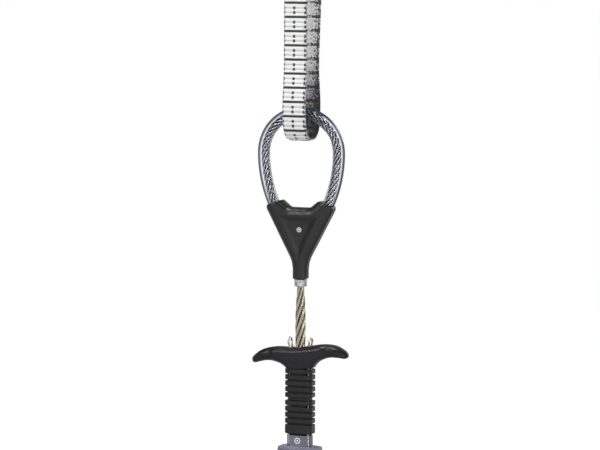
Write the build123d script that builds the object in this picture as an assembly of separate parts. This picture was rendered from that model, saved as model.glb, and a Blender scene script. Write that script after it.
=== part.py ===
from build123d import *
import math
import os

# Climbing cam with its sewn sling, hanging head down. All sizes in millimetres.
# +Z is up, X runs along the axles and across the thumb loop, Y is the depth, front at -Y.
# The origin is the inside of the sling's upper bend, where a carabiner pulls.

# Sling
WEBBING_WIDTH = 12.0
WEBBING_THICKNESS = 1.8
SLING_FRONT_Y = -8.0             # middle line of the straight front leg
SLING_CORNERS = (                # middle line of the loop: Y, Z and bend radius at each corner
    (SLING_FRONT_Y, 0.9, 7.0),
    (SLING_FRONT_Y, -88.0, 60.0),
    (-10.0, -104.0, 40.0),
    (-8.2, -120.6, 8.0),
    (8.2, -120.6, 8.0),
    (10.0, -104.0, 40.0),
    (7.2, -87.0, 60.0),
    (11.3, -40.0, 100.0),
    (7.4, 0.9, 7.0),
)
SPLICE_TOP_Z = -14.0
SPLICE_BOTTOM_Z = -46.0
SPLICE_GAP = 0.1
BARTACK_ZS = (-18.0, -30.0, -42.0)
BARTACK_WIDTH = 10.4
BARTACK_HEIGHT = 3.0
BARTACK_THICKNESS = 0.35

# Thumb loop
LOOP_TOP_Z = -108.2              # middle line of the cable
LOOP_RADIUS = 19.5
LOOP_CENTRE_Z = LOOP_TOP_Z - LOOP_RADIUS
LOOP_SIDE_RADIUS = 58.5
LOOP_ENTRY_Z = -151.6
LOOP_CABLE_RADIUS = 1.65
LOOP_CABLE_END_Z = -175.5
TUBE_OUTER_RADIUS = 3.0
TUBE_BORE_RADIUS = 2.3
TUBE_END_Z = -157.5

# Yoke
YOKE_HALF_DEPTH = 4.5
YOKE_NECK_HALF_DEPTH = 3.7
YOKE_BOTTOM_Z = -188.6
YOKE_EDGE_RADIUS = 1.3
YOKE_CORNERS = (                 # right half of the outline: X, Z and corner radius
    (5.3, -153.8, 2.6), (9.7, -150.4, 1.5), (17.9, -153.6, 1.5), (3.75, -180.3, 14.0),
    (3.5, YOKE_BOTTOM_Z, 0.0),
)
YOKE_BOX_TOP_Z = -149.0          # a box that holds the whole moulding
YOKE_BOX_BOTTOM_Z = -189.6
YOKE_BOX_HALF_WIDTH = 20.0
YOKE_TAPER_TOP_Z = -171.0        # the moulding thins from here down to the neck
YOKE_TAPER_BOTTOM_Z = -181.0
RECESS_TOP_Z = -157.4
RECESS_APEX_Z = -178.6
RECESS_HALF_WIDTH = 9.4
RECESS_CORNER_RADIUS = 1.5
RECESS_DEPTH = 1.5
RECESS_BEVEL = 3.0
PIN_RADIUS = 1.0
PIN_HALF_LENGTH = 2.1
PIN_HOLE_HALF_LENGTH = 2.3
PIN_ZS = (-161.0, -167.5)
BLIND_GAP = 0.5                  # room left at the bottom of a blind hole
PARTING_GAP = 0.04

# Ferrule and stem cable
FERRULE_RADIUS = 3.15
FERRULE_STEM_RADIUS = 2.6
FERRULE_TOP_Z = -180.5
FERRULE_BOTTOM_Z = -192.3
FERRULE_GROOVE_ZS = (-189.9, -191.1)
FERRULE_GROOVE_DEPTH = 0.25
FERRULE_GROOVE_HALF_HEIGHT = 0.2
STEM_NARROW_RADIUS = 1.65        # where the ferrule squeezes the strands
STEM_RADIUS = 2.5
STEM_TOP_Z = -182.0
STEM_FLARE_START_Z = -193.5
STEM_FLARE_END_Z = -206.0
STEM_BOTTOM_Z = -272.0
STEM_CLEARANCE = 0.06

# Trigger
TRIGGER_TOP_Z = -221.9
TRIGGER_BOTTOM_Z = -232.3
TRIGGER_HALF_WIDTH = 25.2
TRIGGER_HALF_DEPTH = 4.6
TRIGGER_NECK_HALF_WIDTH = 6.9
TRIGGER_EDGE_RADIUS = 1.1
TRIGGER_TOP_LINE = ((0, -222.4), (5.5, -222.2), (12.5, TRIGGER_TOP_Z), (19.0, -222.8), (24.4, -225.9))
TRIGGER_TIP = ((24.4, -225.9), (25.1, -227.5), (23.6, -228.4))
TRIGGER_LOWER_LINE = (
    (23.6, -228.4), (20.2, -227.9), (15.7, -227.6), (10.6, -229.0), (7.6, -231.2),
    (TRIGGER_NECK_HALF_WIDTH, TRIGGER_BOTTOM_Z),
)
TRIGGER_CABLE_RADIUS = 0.525
TRIGGER_CABLE_X = 4.9
TRIGGER_CABLE_Y = 1.7
TRIGGER_CABLE_TOP_Z = -217.0
TRIGGER_CABLE_LEAN = 0.5
TRIGGER_CABLE_BOTTOM_Z = -273.6
CABLE_CHANNEL_RADIUS = 0.64

# Sleeve
SLEEVE_TOP_Z = -232.6
SLEEVE_SPLIT_Z = -248.1
SLEEVE_BOTTOM_Z = -264.4
SLEEVE_GAP = 0.2
RIB_HALF_WIDTH = 7.0
RIB_HALF_DEPTH = 3.9
CORE_HALF_WIDTH = 5.75
CORE_HALF_DEPTH = 2.9
RIB_PITCH = 2.95
RIB_GROOVE = 0.78
RIB_COUNT = 5
SLEEVE_CORNER_SHARE = 0.5        # corner radius as a share of the half depth
WINDOW_INNER_X = 3.9
WINDOW_OUTER_X = 5.6
CORE_NOSE = 1.5

# Head frame, axles and lobes
HEAD_TOP_Z = -264.6
SHOULDER_Z = -270.4
CROTCH_Z = -274.5
CROTCH_CORNER = 0.3
AXLE_Z = -292.0
AXLE_Y = 3.0
AXLE_RADIUS = 1.5
AXLE_HALF_LENGTH = 11.0
NECK_HALF_WIDTH = 6.5
NECK_HALF_DEPTH = 3.4
NECK_CHAMFER = 2.7               # broad facets on the upright edges of the neck
ARM_OUTER_X = 10.0
ARM_INNER_X = 8.2
ARM_END_RADIUS = 3.3
FIXED_FIT = 0.02
WASHER_RADIUS = 2.5
WASHER_THICKNESS = 0.7
LOBE_OUTER_X = 7.9
LOBE_THICKNESS = 2.95
LOBE_GAP = 1.7
SPACER_RADIUS = 2.6
SPACER_HALF_THICKNESS = 0.22
LOBE_SPIRAL_RADIUS = 16.9
LOBE_SPIRAL_RATE = 0.2586
LOBE_SPIRAL_ANGLE = 14.5
LOBE_START_ANGLE = 20.0
LOBE_END_ANGLE = -78.5
LOBE_HUB_RADIUS = 4.1
LOBE_BORE_RADIUS = 1.56
SLOT_HALF_WIDTH = 1.85
SLOT_END_ANGLE = -88.0
SLOT_WALL = 1.5
TOOTH_DEPTH = 0.55
TOOTH_COUNT = 13
LIGHTENING_HOLES = ((13.0, 8.0, 1.5), (11.4, -14.0, 1.7), (10.3, -36.0, 1.1))
PULL_PIN_DISTANCE = 9.6
PULL_PIN_ANGLE = 8.0
PULL_PIN_RADIUS = 0.8
PULL_PIN_REACH = 0.7
WIRE_RADIUS = 0.3
SPRING_WIRE_RADIUS = 0.28
SPRING_COIL_RADIUS = 2.05


def mirrored(points):
    """Points of the right half, from top to bottom, closed through the left half."""
    return points + [(-x, z) for x, z in reversed(points) if x > 0]


def prism_y(face, half_depth):
    """Solid of a face drawn in X and Z, symmetric about the middle plane."""
    return extrude(Plane.XZ * face, half_depth, both=True)


def prism_x(face, x_min, x_max):
    """Solid of a face drawn in Y and Z, between two planes."""
    return extrude(Plane.YZ.offset(x_min) * face, x_max - x_min)


def post(radius, x, y, z_low, z_high):
    """Upright round bar."""
    return extrude(Plane.XY.offset(z_low) * Pos(x, y) * Circle(radius), z_high - z_low)


def bar_x(radius, y, z, x_low, x_high):
    """Round bar along X."""
    return extrude(Plane.YZ.offset(x_low) * Pos(y, z) * Circle(radius), x_high - x_low)


def bar_y(radius, x, z, half_length):
    """Round bar along Y."""
    return extrude(Plane.XZ * Pos(x, z) * Circle(radius), half_length, both=True)


def block(x_low, x_high, y_low, y_high, z_low, z_high):
    """Box between two corners."""
    centre = Pos((x_low + x_high) / 2, (y_low + y_high) / 2, (z_low + z_high) / 2)
    return centre * Box(x_high - x_low, y_high - y_low, z_high - z_low)


# ---------------------------------------------------------------- sling
def make_sling():
    """Closed loop of flat webbing, a little wider where it bends round the thumb loop."""
    points = [(y, z) for y, z, _ in SLING_CORNERS]
    radii = [radius for _, _, radius in SLING_CORNERS]
    middle = make_face(FilletPolyline(*points, radius=radii, close=True))
    half = WEBBING_WIDTH / 2
    outer = prism_x(offset(middle, WEBBING_THICKNESS / 2), -half, half)
    inner = prism_x(offset(middle, -WEBBING_THICKNESS / 2), -half, half)
    return outer - inner


def splice_outer_y():
    """Front face of the overlapped webbing end."""
    return SLING_FRONT_Y - 1.5 * WEBBING_THICKNESS - SPLICE_GAP


def make_sling_splice():
    """End of the webbing, laid over the front leg where the loop is sewn shut."""
    half = WEBBING_WIDTH / 2
    y_front = splice_outer_y()
    strap = block(-half, half, y_front, y_front + WEBBING_THICKNESS, SPLICE_BOTTOM_Z, SPLICE_TOP_Z)
    return chamfer(strap.faces().sort_by(Axis.Y)[0].edges().filter_by(Axis.X), 0.8)


def make_sling_bartacks():
    """Dense stitch blocks on both sides of the overlap."""
    half = BARTACK_WIDTH / 2
    front = splice_outer_y() - FIXED_FIT
    inside = SLING_FRONT_Y + WEBBING_THICKNESS / 2 + SPLICE_GAP
    blocks = []
    for z in BARTACK_ZS:
        low, high = z - BARTACK_HEIGHT / 2, z + BARTACK_HEIGHT / 2
        blocks.append(block(-half, half, front - BARTACK_THICKNESS, front, low, high))
        blocks.append(block(-half, half, inside, inside + BARTACK_THICKNESS, low, high))
    return Compound(blocks)


# ---------------------------------------------------------------- thumb loop
def loop_side_angle():
    """Lean of the cable where it enters the yoke, in radians."""
    return math.asin((LOOP_CENTRE_Z - LOOP_ENTRY_Z) / LOOP_SIDE_RADIUS)


def loop_x(z):
    """Distance of the cable's middle line from the centre plane, on the straight end."""
    lean = loop_side_angle()
    entry_x = LOOP_RADIUS - LOOP_SIDE_RADIUS * (1 - math.cos(lean))
    return entry_x - (LOOP_ENTRY_Z - z) * math.tan(lean)


def loop_path(end_z):
    """Egg-shaped middle line of the thumb loop, with straight ends into the yoke."""
    lean = math.degrees(loop_side_angle())
    side_centre = LOOP_RADIUS - LOOP_SIDE_RADIUS
    edges = [
        Line((loop_x(end_z), end_z), (loop_x(LOOP_ENTRY_Z), LOOP_ENTRY_Z)),
        CenterArc((side_centre, LOOP_CENTRE_Z), LOOP_SIDE_RADIUS, -lean, lean),
        CenterArc((0, LOOP_CENTRE_Z), LOOP_RADIUS, 0, 180),
        CenterArc((-side_centre, LOOP_CENTRE_Z), LOOP_SIDE_RADIUS, 180, lean),
        Line((-loop_x(LOOP_ENTRY_Z), LOOP_ENTRY_Z), (-loop_x(end_z), end_z)),
    ]
    return Plane.XZ * Wire([edge.edge() for edge in edges])


def loop_rod(radius, end_z):
    """Round bar bent along the thumb loop."""
    path = loop_path(end_z)
    section = Plane(origin=path @ 0, z_dir=path % 0) * Circle(radius)
    return sweep(section, path=path)


def make_thumb_loop_cable():
    return loop_rod(LOOP_CABLE_RADIUS, LOOP_CABLE_END_Z)


def make_thumb_loop_tube():
    return loop_rod(TUBE_OUTER_RADIUS, TUBE_END_Z) - loop_rod(TUBE_BORE_RADIUS, TUBE_END_Z - 1.0)


# ---------------------------------------------------------------- yoke
def yoke_face():
    """Front outline: two horns, a flat notch between them, a waisted neck below."""
    points = mirrored([(x, z) for x, z, _ in YOKE_CORNERS])
    radii = [radius for _, _, radius in YOKE_CORNERS]
    outline = FilletPolyline(*points, radius=radii + radii[::-1], close=True)
    return make_face(outline)


def yoke_side_face():
    """Side outline: full depth at the horns, thinner at the neck."""
    wide, thin = YOKE_HALF_DEPTH, YOKE_NECK_HALF_DEPTH
    right = [(wide, YOKE_BOX_TOP_Z), (wide, YOKE_TAPER_TOP_Z),
             (thin, YOKE_TAPER_BOTTOM_Z), (thin, YOKE_BOX_BOTTOM_Z)]
    return make_face(Polyline(*mirrored(right), close=True))


def recess_cutter():
    """Bevelled triangular pocket, drawn on the front face."""
    left, right = (-RECESS_HALF_WIDTH, RECESS_TOP_Z), (RECESS_HALF_WIDTH, RECESS_TOP_Z)
    triangle = Polyline(left, right, (0, RECESS_APEX_Z), close=True)
    outline = fillet(make_face(triangle).vertices(), RECESS_CORNER_RADIUS)
    front = Plane.XZ.offset(YOKE_HALF_DEPTH) * outline
    taper = math.degrees(math.atan(RECESS_BEVEL / RECESS_DEPTH))
    return extrude(front, -RECESS_DEPTH, taper=taper)


def make_yoke_body():
    """Whole moulding, before it is split into two shells."""
    body = prism_y(yoke_face(), YOKE_HALF_DEPTH)
    rims = body.faces().sort_by(Axis.Y)
    body = fillet(rims[0].edges() + rims[-1].edges(), YOKE_EDGE_RADIUS)
    body &= prism_x(yoke_side_face(), -YOKE_BOX_HALF_WIDTH, YOKE_BOX_HALF_WIDTH)
    cutter = recess_cutter()
    body -= cutter
    body -= mirror(cutter, Plane.XZ)
    body -= loop_rod(LOOP_CABLE_RADIUS + FIXED_FIT, LOOP_CABLE_END_Z - BLIND_GAP)
    body -= loop_rod(TUBE_OUTER_RADIUS + FIXED_FIT, TUBE_END_Z - BLIND_GAP)
    body -= post(FERRULE_STEM_RADIUS + FIXED_FIT, 0, 0, YOKE_BOX_BOTTOM_Z, FERRULE_TOP_Z + BLIND_GAP)
    for z in PIN_ZS:
        body -= bar_y(PIN_RADIUS + FIXED_FIT, 0, z, PIN_HOLE_HALF_LENGTH)
    return body


def make_yoke_shell(body, side):
    """One half of the yoke: side -1 is the front, +1 the rear."""
    near, far = sorted((side * PARTING_GAP / 2, side * 2 * YOKE_HALF_DEPTH))
    half = YOKE_BOX_HALF_WIDTH
    return body & block(-half, half, near, far, YOKE_BOX_BOTTOM_Z, YOKE_BOX_TOP_Z)


def make_yoke_pins():
    """Blind dowels that line up the two shells."""
    return Compound([bar_y(PIN_RADIUS, 0, z, PIN_HALF_LENGTH) for z in PIN_ZS])


# ---------------------------------------------------------------- ferrule and stem
def make_ferrule():
    """Swaged collar with two crimp grooves, its upper part inside the yoke."""
    collar = post(FERRULE_RADIUS, 0, 0, FERRULE_BOTTOM_Z, YOKE_BOTTOM_Z - 0.05)
    collar = chamfer(collar.edges().filter_by(GeomType.CIRCLE), 0.35)
    collar += post(FERRULE_STEM_RADIUS, 0, 0, YOKE_BOTTOM_Z - 0.5, FERRULE_TOP_Z)
    for z in FERRULE_GROOVE_ZS:
        low, high = z - FERRULE_GROOVE_HALF_HEIGHT, z + FERRULE_GROOVE_HALF_HEIGHT
        floor = post(FERRULE_RADIUS - FERRULE_GROOVE_DEPTH, 0, 0, low, high)
        collar -= post(FERRULE_RADIUS + 1, 0, 0, low, high) - floor
    bore = STEM_NARROW_RADIUS + STEM_CLEARANCE
    return collar - post(bore, 0, 0, FERRULE_BOTTOM_Z - 1, FERRULE_TOP_Z + 1)


def make_stem_cable():
    """Round bar that is narrow in the ferrule and flares to its full thickness below it."""
    profile = Polyline(
        (0, STEM_TOP_Z), (STEM_NARROW_RADIUS, STEM_TOP_Z), (STEM_NARROW_RADIUS, STEM_FLARE_START_Z),
        (STEM_RADIUS, STEM_FLARE_END_Z), (STEM_RADIUS, STEM_BOTTOM_Z), (0, STEM_BOTTOM_Z), close=True)
    return revolve(Plane.XZ * make_face(profile), Axis.Z)


# ---------------------------------------------------------------- trigger
def trigger_face():
    """Front outline: two drooping finger wings on a short neck."""
    right = [
        Spline(*TRIGGER_TOP_LINE, tangents=((1, 0), (0.72, -1))),
        ThreePointArc(*TRIGGER_TIP),
        Spline(*TRIGGER_LOWER_LINE),
        Line(TRIGGER_LOWER_LINE[-1], (0, TRIGGER_BOTTOM_Z)),
        Line((0, TRIGGER_BOTTOM_Z), TRIGGER_TOP_LINE[0]),
    ]
    half = make_face([edge.edge() for edge in right])
    return half + mirror(half, Plane.YZ)


def trigger_plan_face():
    """Outline from above: thick in the middle, narrower round wing ends."""
    centre = SlotOverall(2 * TRIGGER_HALF_WIDTH, 2 * TRIGGER_HALF_DEPTH - 1.2)
    return centre + RectangleRounded(26.0, 2 * TRIGGER_HALF_DEPTH, 2.5)


def trigger_cable_legs():
    """Places of the two legs of each trigger cable, as X and Y."""
    return [(sx * TRIGGER_CABLE_X, sy * TRIGGER_CABLE_Y) for sx in (-1, 1) for sy in (-1, 1)]


def make_trigger_bar():
    """Finger bar with a bore for the stem and snug holes for the cable legs."""
    bar = prism_y(trigger_face(), TRIGGER_HALF_DEPTH)
    rims = bar.faces().sort_by(Axis.Y)
    bar = fillet(rims[0].edges() + rims[-1].edges(), TRIGGER_EDGE_RADIUS)
    below, above = TRIGGER_BOTTOM_Z - 1, TRIGGER_TOP_Z + 1
    bar &= extrude(Plane.XY.offset(below) * trigger_plan_face(), above - below)
    bar -= post(STEM_RADIUS + 2 * STEM_CLEARANCE, 0, 0, below, above)
    for x, y in trigger_cable_legs():
        bar -= post(TRIGGER_CABLE_RADIUS + FIXED_FIT, x, y, below, above)
    return bar


def make_trigger_cable(side):
    """Steel loop over the trigger, with two legs down through the sleeve to the crotch."""
    x, y = side * TRIGGER_CABLE_X, TRIGGER_CABLE_Y
    bend_z = TRIGGER_TOP_Z + 0.6
    top_z = TRIGGER_CABLE_TOP_Z - TRIGGER_CABLE_RADIUS - y
    top_x = x + side * TRIGGER_CABLE_LEAN
    points = [
        (x, -y, TRIGGER_CABLE_BOTTOM_Z),
        (x, -y, bend_z),
        (top_x, -y, top_z),
        (top_x, -y * 0.72, top_z + y * 0.72),
        (top_x, y * 0.72, top_z + y * 0.72),
        (top_x, y, top_z),
        (x, y, bend_z),
        (x, y, TRIGGER_CABLE_BOTTOM_Z),
    ]
    path = FilletPolyline(*points, radius=(1.2, 1.0, 0.9, 0.9, 1.0, 1.2))
    section = Plane(origin=path @ 0, z_dir=path % 0) * Circle(TRIGGER_CABLE_RADIUS)
    return sweep(section, path=path, transition=Transition.ROUND)


# ---------------------------------------------------------------- sleeve
def rounded_slab(half_width, half_depth, z_low, z_high):
    """Plate with well rounded corners, seen from above."""
    outline = RectangleRounded(2 * half_width, 2 * half_depth, half_depth * SLEEVE_CORNER_SHARE)
    return extrude(Plane.XY.offset(z_low) * outline, z_high - z_low)


def make_sleeve_segment(top_z, bottom_z, nose):
    """Ribbed guide for the stem and the trigger cables, with cable windows in the first groove."""
    segment = rounded_slab(CORE_HALF_WIDTH, CORE_HALF_DEPTH, bottom_z, top_z)
    for index in range(RIB_COUNT):
        rib_top = top_z - index * RIB_PITCH
        rib_bottom = rib_top - (RIB_PITCH - RIB_GROOVE)
        if index == RIB_COUNT - 1:
            rib_bottom = bottom_z + nose
        rib = rounded_slab(RIB_HALF_WIDTH, RIB_HALF_DEPTH, rib_bottom, rib_top)
        segment += chamfer(rib.faces().sort_by(Axis.Z)[0].edges(), 0.3)
    segment -= post(STEM_RADIUS + STEM_CLEARANCE, 0, 0, bottom_z - 1, top_z + 1)
    for x, y in trigger_cable_legs():
        segment -= post(CABLE_CHANNEL_RADIUS, x, y, bottom_z - 1, top_z + 1)
    groove_top = top_z - (RIB_PITCH - RIB_GROOVE)
    for side in (-1, 1):
        inner, outer = sorted((side * WINDOW_INNER_X, side * WINDOW_OUTER_X))
        for front, rear in ((-5.0, -1.6), (1.6, 5.0)):
            segment -= block(inner, outer, front, rear, groove_top - RIB_GROOVE, groove_top)
    return segment


# ---------------------------------------------------------------- head
def head_front_face():
    """Fork seen from the front: neck, shoulders, two arms round an open crotch."""
    bottom = AXLE_Z - ARM_END_RADIUS
    outer = Polyline(
        (NECK_HALF_WIDTH, HEAD_TOP_Z), (NECK_HALF_WIDTH, SHOULDER_Z), (ARM_OUTER_X, SHOULDER_Z - 0.3),
        (ARM_OUTER_X, bottom), (ARM_INNER_X, bottom), (ARM_INNER_X, CROTCH_Z - CROTCH_CORNER),
        (ARM_INNER_X - CROTCH_CORNER, CROTCH_Z), (0, CROTCH_Z), (0, HEAD_TOP_Z), close=True)
    half = make_face(outer)
    return half + mirror(half, Plane.YZ)


def head_side_face():
    """Fork seen from the side: slim neck, arms that widen to hold both axles."""
    neck = NECK_HALF_DEPTH
    reach = AXLE_Y + ARM_END_RADIUS
    right = [(neck, HEAD_TOP_Z + 1), (neck, SHOULDER_Z), (neck + 1.0, SHOULDER_Z - 1.4),
             (neck + 1.0, CROTCH_Z), (reach, AXLE_Z + 2.5), (reach, AXLE_Z), (AXLE_Y, AXLE_Z)]
    outline = make_face(Polyline(*mirrored(right), close=True))
    ends = [Pos(side * AXLE_Y, AXLE_Z) * Circle(ARM_END_RADIUS) for side in (-1, 1)]
    web = Pos(0, AXLE_Z) * Rectangle(2 * AXLE_Y, 2 * ARM_END_RADIUS)
    return outline + ends[0] + ends[1] + web


def make_head_frame():
    """Forked head with a blind socket for the stem and four cable channels."""
    head = prism_y(head_front_face(), 8.0) & prism_x(head_side_face(), -12.0, 12.0)
    corners = head.edges().filter_by(Axis.Z).filter_by(
        lambda edge: edge.center().Z > SHOULDER_Z and abs(edge.center().X) > NECK_HALF_WIDTH - 0.1)
    head = chamfer(corners, NECK_CHAMFER)
    head = chamfer(head.faces().sort_by(Axis.Z)[-1].edges(), 0.5)
    head -= post(STEM_RADIUS + STEM_CLEARANCE, 0, 0, STEM_BOTTOM_Z - 0.2, HEAD_TOP_Z + 1)
    for x, y in trigger_cable_legs():
        head -= post(CABLE_CHANNEL_RADIUS, x, y, CROTCH_Z - 1, HEAD_TOP_Z + 1)
    for side in (-1, 1):
        head -= bar_x(AXLE_RADIUS + FIXED_FIT, side * AXLE_Y, AXLE_Z, -12.0, 12.0)
    return head


def make_axle(side):
    """Plain steel axle: side -1 is the front one, +1 the rear one."""
    return bar_x(AXLE_RADIUS, side * AXLE_Y, AXLE_Z, -AXLE_HALF_LENGTH, AXLE_HALF_LENGTH)


def washer(y, x_low, x_high, radius):
    """Ring on an axle."""
    return bar_x(radius, y, AXLE_Z, x_low, x_high) - bar_x(AXLE_RADIUS + FIXED_FIT, y, AXLE_Z, x_low, x_high)


def make_axle_washers():
    """Retaining rings outside both arms."""
    rings = []
    for side in (-1, 1):
        for x_inner in (-ARM_OUTER_X - FIXED_FIT - WASHER_THICKNESS, ARM_OUTER_X + FIXED_FIT):
            rings.append(washer(side * AXLE_Y, x_inner, x_inner + WASHER_THICKNESS, WASHER_RADIUS))
    return Compound(rings)


def make_axle_spacers():
    """Thin rings between the two middle lobes."""
    half = SPACER_HALF_THICKNESS
    return Compound([washer(side * AXLE_Y, -half, half, SPACER_RADIUS) for side in (-1, 1)])


# ---------------------------------------------------------------- lobes
def lobe_x_low(index):
    """Left face of each lobe, counted from -X."""
    left = (-LOBE_OUTER_X, -LOBE_OUTER_X + LOBE_THICKNESS + LOBE_GAP)
    right = (-left[1] - LOBE_THICKNESS, -left[0] - LOBE_THICKNESS)
    return (left + right)[index]


def lobe_faces_rear(index):
    """The outer pair bears on the rear wall of a crack, the inner pair on the front wall."""
    return index in (0, 3)


def spiral_radius(angle):
    """Logarithmic spiral of the bearing edge, about the lobe's own axle."""
    return LOBE_SPIRAL_RADIUS * math.exp(LOBE_SPIRAL_RATE * math.radians(angle - LOBE_SPIRAL_ANGLE))


def polar(radius, angle):
    return (radius * math.cos(math.radians(angle)), radius * math.sin(math.radians(angle)))


def lobe_face():
    """Profile of a lobe that bears towards +Y, its own axle at the local origin."""
    step = (LOBE_START_ANGLE - LOBE_END_ANGLE) / 8
    rim = [polar(spiral_radius(LOBE_START_ANGLE - step * n), LOBE_START_ANGLE - step * n) for n in range(9)]
    sector = make_face([
        Spline(*rim).edge(),
        Line(rim[-1], polar(2.0, LOBE_END_ANGLE)).edge(),
        Line(polar(2.0, LOBE_END_ANGLE), polar(2.0, LOBE_START_ANGLE + 60)).edge(),
        Line(polar(2.0, LOBE_START_ANGLE + 60), rim[0]).edge(),
    ])
    slot_radius = 2 * AXLE_Y
    boss_width = 2 * (SLOT_HALF_WIDTH + SLOT_WALL)
    guide = CenterArc((0, 0), slot_radius, 0, SLOT_END_ANGLE)
    face = sector + Circle(LOBE_HUB_RADIUS) + SlotArc(guide, boss_width)
    face -= SlotArc(guide, 2 * SLOT_HALF_WIDTH)
    face -= Circle(LOBE_BORE_RADIUS)
    tooth_step = (LOBE_START_ANGLE - LOBE_END_ANGLE) / TOOTH_COUNT
    for n in range(TOOTH_COUNT):
        angle = LOBE_START_ANGLE - tooth_step * (n + 0.5)
        notch = Rectangle(2 * TOOTH_DEPTH, 1.1)
        face -= Pos(*polar(spiral_radius(angle), angle)) * Rot(0, 0, angle) * notch
    for distance, angle, hole_radius in LIGHTENING_HOLES:
        face -= Pos(*polar(distance, angle)) * Circle(hole_radius)
    return face


def place_on_axle(face, rear):
    """Puts a lobe profile on its axle; a rear lobe turns on the front axle."""
    if rear:
        return Pos(-AXLE_Y, AXLE_Z) * face
    return Pos(AXLE_Y, AXLE_Z) * mirror(face, Plane.YZ)


def make_lobe(index):
    x_low = lobe_x_low(index)
    return prism_x(place_on_axle(lobe_face(), lobe_faces_rear(index)), x_low, x_low + LOBE_THICKNESS)


def pull_pin_place(index):
    """Y and Z of the pin that the trigger wire pulls on."""
    y, z = polar(PULL_PIN_DISTANCE, PULL_PIN_ANGLE)
    side = 1 if lobe_faces_rear(index) else -1
    return side * (y - AXLE_Y), AXLE_Z + z


def pull_pin_x(index):
    """Face that the pin stands on and its far end, inside the gap beside the lobe."""
    toward = 1 if index in (0, 2) else -1
    face = lobe_x_low(index) + (LOBE_THICKNESS if toward > 0 else 0)
    return face + toward * FIXED_FIT, face + toward * PULL_PIN_REACH


def make_pull_pin(index):
    y, z = pull_pin_place(index)
    low, high = sorted(pull_pin_x(index))
    return bar_x(PULL_PIN_RADIUS, y, z, low, high)


def make_lobe_wire(index):
    """Thin wire from a cable channel in the crotch to the lobe's pull pin."""
    side = -1 if index < 2 else 1
    y, z = pull_pin_place(index)
    face, tip = pull_pin_x(index)
    x = (face + tip) / 2
    toward = 1 if y > 0 else -1
    points = [
        (side * TRIGGER_CABLE_X, toward * TRIGGER_CABLE_Y, CROTCH_Z + 0.5),
        (side * TRIGGER_CABLE_X, toward * TRIGGER_CABLE_Y, CROTCH_Z - 2.0),
        (x, toward * 3.6, CROTCH_Z - 7.5),
        (x, y, z + PULL_PIN_RADIUS + WIRE_RADIUS),
    ]
    path = FilletPolyline(*points, radius=(2.0, 4.0))
    section = Plane(origin=path @ 0, z_dir=path % 0) * Circle(WIRE_RADIUS)
    return sweep(section, path=path, transition=Transition.ROUND)


def make_torsion_spring(gap_x, side):
    """Two turns of wire round an axle, with both ends bent straight out."""
    turns, pitch = 2.0, 2.1 * SPRING_WIRE_RADIUS
    height = turns * pitch
    helix = Helix(pitch, height, SPRING_COIL_RADIUS)
    helix = Pos(gap_x - height / 2, side * AXLE_Y, AXLE_Z) * Rot(0, 90, 0) * helix
    section = Plane(origin=helix @ 0, z_dir=helix % 0) * Circle(SPRING_WIRE_RADIUS)
    return sweep(section, path=helix, is_frenet=True)


def make_torsion_springs(side):
    """The springs on one axle, one in the left gap and one in the right gap."""
    gap_x = LOBE_OUTER_X - LOBE_THICKNESS - LOBE_GAP / 2
    return Compound([make_torsion_spring(x, side) for x in (-gap_x, gap_x)])


# ---------------------------------------------------------------- assembly
def make_parts():
    """Every separate piece, by node name."""
    yoke = make_yoke_body()
    parts = {
        "sling": make_sling(),
        "sling_splice": make_sling_splice(),
        "sling_bartacks": make_sling_bartacks(),
        "thumb_loop_cable": make_thumb_loop_cable(),
        "thumb_loop_tube": make_thumb_loop_tube(),
        "yoke_front": make_yoke_shell(yoke, -1),
        "yoke_rear": make_yoke_shell(yoke, 1),
        "yoke_pins": make_yoke_pins(),
        "ferrule": make_ferrule(),
        "stem_cable": make_stem_cable(),
        "trigger_bar": make_trigger_bar(),
        "trigger_cable_left": make_trigger_cable(-1),
        "trigger_cable_right": make_trigger_cable(1),
        "sleeve_upper": make_sleeve_segment(SLEEVE_TOP_Z, SLEEVE_SPLIT_Z + SLEEVE_GAP, CORE_NOSE),
        "sleeve_lower": make_sleeve_segment(SLEEVE_SPLIT_Z, SLEEVE_BOTTOM_Z, 0.2),
        "head_frame": make_head_frame(),
        "axle_front": make_axle(-1),
        "axle_rear": make_axle(1),
        "axle_washers": make_axle_washers(),
        "axle_spacers": make_axle_spacers(),
        "springs_front": make_torsion_springs(-1),
        "springs_rear": make_torsion_springs(1),
    }
    for index in range(4):
        parts[f"lobe_{index + 1}"] = make_lobe(index)
        parts[f"pull_pin_{index + 1}"] = make_pull_pin(index)
        parts[f"lobe_wire_{index + 1}"] = make_lobe_wire(index)
    return parts


os.makedirs("parts", exist_ok=True)
for name, shape in make_parts().items():
    export_step(shape, f"parts/{name}.step")
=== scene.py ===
import math

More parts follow.
